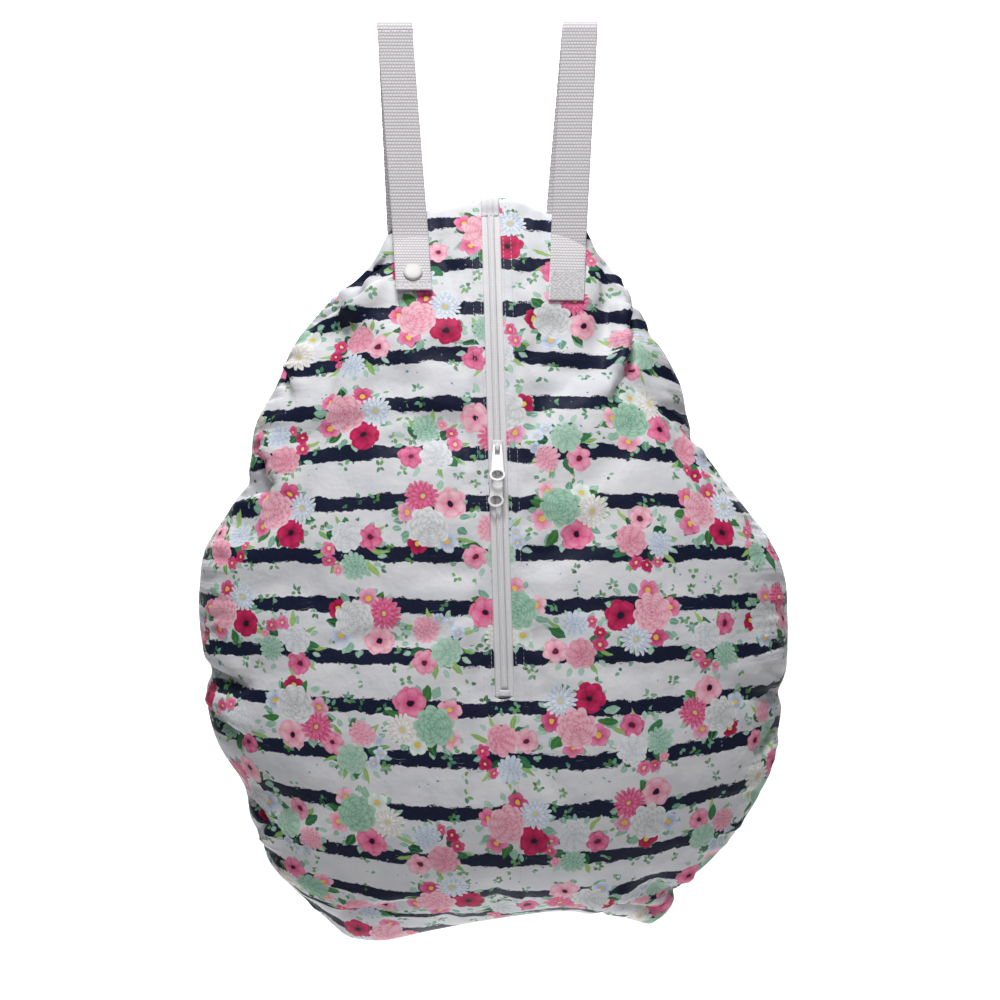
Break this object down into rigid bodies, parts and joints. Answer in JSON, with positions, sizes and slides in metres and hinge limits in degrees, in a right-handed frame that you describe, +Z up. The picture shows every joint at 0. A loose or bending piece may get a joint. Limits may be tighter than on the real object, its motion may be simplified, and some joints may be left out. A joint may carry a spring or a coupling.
{
  "type": "hanging cloth wet bag",
  "caption": "Filled soft bag of waterproof printed cloth with a vertical front zip and webbing loops that hang it over a rail.",
  "frame": {"origin": "on the hanging rail, midway between the loops, at the underside of the webbing's crests", "axes": "+Z up, -Y toward the viewer of the zip, +X to the viewer's right"},
  "size_m": [0.4187, 0.1727, 0.6528],
  "materials": {
    "printed_cloth": "laminated polyester knit, off-white with a floral print and navy brush stripes",
    "zip_tape": "white ribbed woven tape",
    "zip_coil": "white nylon coil",
    "white_enamel": "white enamel on cast metal",
    "webbing": "light warm-grey ribbed webbing",
    "snap_plastic": "smooth white plastic"
  },
  "bodies": {
    "bag": {"bag_body": "printed_cloth", "zip_tape": "zip_tape", "zip_tape_fold": "zip_tape", "zip_coil": "zip_coil", "zip_bottom_stop": "zip_coil", "upper_slider": "white_enamel", "lower_slider": "white_enamel", "left_strap_loop": "webbing", "right_strap_loop": "webbing", "snap_cap": "snap_plastic", "snap_stud": "snap_plastic"},
    "upper_pull": {"upper_pull_tab": "white_enamel"},
    "lower_pull": {"lower_pull_tab": "white_enamel"}
  },
  "joints": [
    {"name": "upper_pull_hinge", "type": "hinge", "parent": "bag", "child": "upper_pull", "pos_m": [0.00724, -0.07594, -0.30094], "axis": [-1, 0, 0], "range_deg": [0, 120]},
    {"name": "lower_pull_hinge", "type": "hinge", "parent": "bag", "child": "lower_pull", "pos_m": [0.00772, -0.0794, -0.31682], "axis": [-1, 0, 0], "range_deg": [0, 120]}
  ],
  "couplings": [
    {"joint": "lower_pull_hinge", "follows": "upper_pull_hinge", "ratio": 1}
  ]
}
